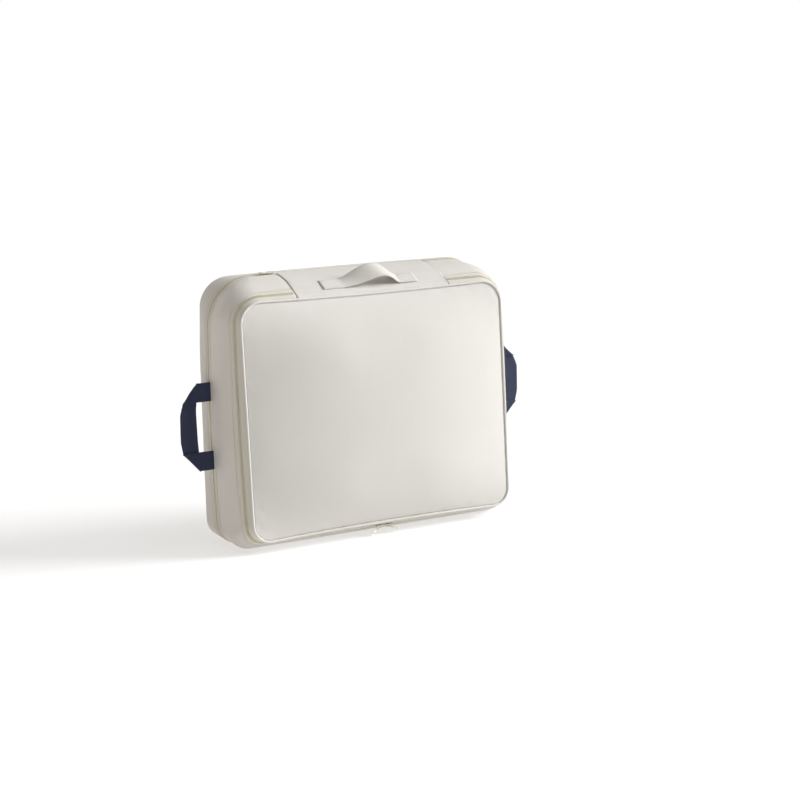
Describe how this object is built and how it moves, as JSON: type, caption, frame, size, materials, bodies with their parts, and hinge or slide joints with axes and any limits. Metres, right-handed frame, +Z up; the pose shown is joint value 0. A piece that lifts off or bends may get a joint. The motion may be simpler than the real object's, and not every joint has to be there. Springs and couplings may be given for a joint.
{
  "type": "laundry bag",
  "caption": "Soft stuffed zipped fabric case with piped front cover, two zip-around covers, a top carry strap and folded webbing side handles.",
  "frame": {"origin": "on the floor, under the middle of the case's resting patch", "axes": "+Z up, -Y out of the front cover, +X to the viewer's right when facing the front"},
  "size_m": [0.5166, 0.163, 0.3572],
  "materials": {
    "shell_fabric": "matte plain weave",
    "piping": "matte woven cover",
    "binding_tape": "ribbed tape",
    "lining": "smooth lining cloth",
    "zip_tape": "twill tape",
    "zip_coil": "satin nylon coil",
    "slider_metal": "satin paint",
    "strap": "matte plain weave",
    "webbing": "ribbed webbing"
  },
  "bodies": {
    "root": {"middle_gusset": "shell_fabric", "top_panel": "shell_fabric", "divider": "lining", "front_zip_case_tape": "zip_tape", "front_zip_case_coil": "zip_coil", "rear_zip_case_tape": "zip_tape", "rear_zip_case_coil": "zip_coil", "top_handle_ends": "strap"},
    "front_cover": {"front_panel": "shell_fabric", "front_piping": "piping", "front_seam_binding": "binding_tape", "front_zip_cover_tape": "zip_tape", "front_zip_cover_coil": "zip_coil"},
    "rear_cover": {"rear_gusset": "shell_fabric", "rear_hinge_strip": "shell_fabric", "rear_panel": "shell_fabric", "rear_seam_binding": "binding_tape", "rear_zip_cover_tape": "zip_tape", "rear_zip_cover_coil": "zip_coil"},
    "front_slider_left": {"front_slider_left": "slider_metal"},
    "front_slider_right": {"front_slider_right": "slider_metal"},
    "front_pull_left": {"front_pull_left": "slider_metal"},
    "front_pull_right": {"front_pull_right": "slider_metal"},
    "rear_slider": {"rear_slider": "slider_metal"},
    "rear_pull": {"rear_pull": "slider_metal"},
    "top_handle": {"top_handle_grip": "strap"},
    "side_handle_left": {"side_handle_left": "webbing"},
    "side_handle_right": {"side_handle_right": "webbing"}
  },
  "joints": [
    {"name": "front_cover_hinge", "type": "hinge", "parent": "root", "child": "front_cover", "pos_m": [0, -0.04315, 0.3327], "axis": [-1, 0, 0], "range_deg": [0, 150]},
    {"name": "rear_cover_hinge", "type": "hinge", "parent": "root", "child": "rear_cover", "pos_m": [0, 0.02543, 0.3542], "axis": [1, 0, 0], "range_deg": [0, 100]},
    {"name": "front_slider_left_slide", "type": "slide", "parent": "root", "child": "front_slider_left", "axis": [-1, 0, 0], "range_m": [0, 0.145]},
    {"name": "front_slider_right_slide", "type": "slide", "parent": "root", "child": "front_slider_right", "axis": [1, 0, 0], "range_m": [0, 0.145]},
    {"name": "rear_slider_slide", "type": "slide", "parent": "root", "child": "rear_slider", "axis": [-1, 0, 0], "range_m": [0, 0.02]},
    {"name": "front_pull_left_swing", "type": "hinge", "parent": "front_slider_left", "child": "front_pull_left", "pos_m": [-0.007, -0.04804, 0.01001], "axis": [0, -0.9096, 0.4155], "range_deg": [-24, 0]},
    {"name": "front_pull_right_swing", "type": "hinge", "parent": "front_slider_right", "child": "front_pull_right", "pos_m": [0.007, -0.04804, 0.01001], "axis": [0, -0.9096, 0.4155], "range_deg": [-8, 16]},
    {"name": "rear_pull_swing", "type": "hinge", "parent": "rear_slider", "child": "rear_pull", "pos_m": [-0.119, 0.02121, 0.35551], "axis": [0, 0.9964, 0.0843], "range_deg": [0, 165]},
    {"name": "top_handle_lift", "type": "slide", "parent": "root", "child": "top_handle", "axis": [0, -0.5023, 0.8647], "range_m": [-0.004, 0.004]},
    {"name": "side_handle_left_swing", "type": "hinge", "parent": "root", "child": "side_handle_left", "pos_m": [-0.2123, 0.019, 0.162], "axis": [0, 0, 1], "range_deg": [-75, 75]},
    {"name": "side_handle_right_swing", "type": "hinge", "parent": "root", "child": "side_handle_right", "pos_m": [0.2123, 0.019, 0.176], "axis": [0, 0, 1], "range_deg": [-75, 75]}
  ]
}
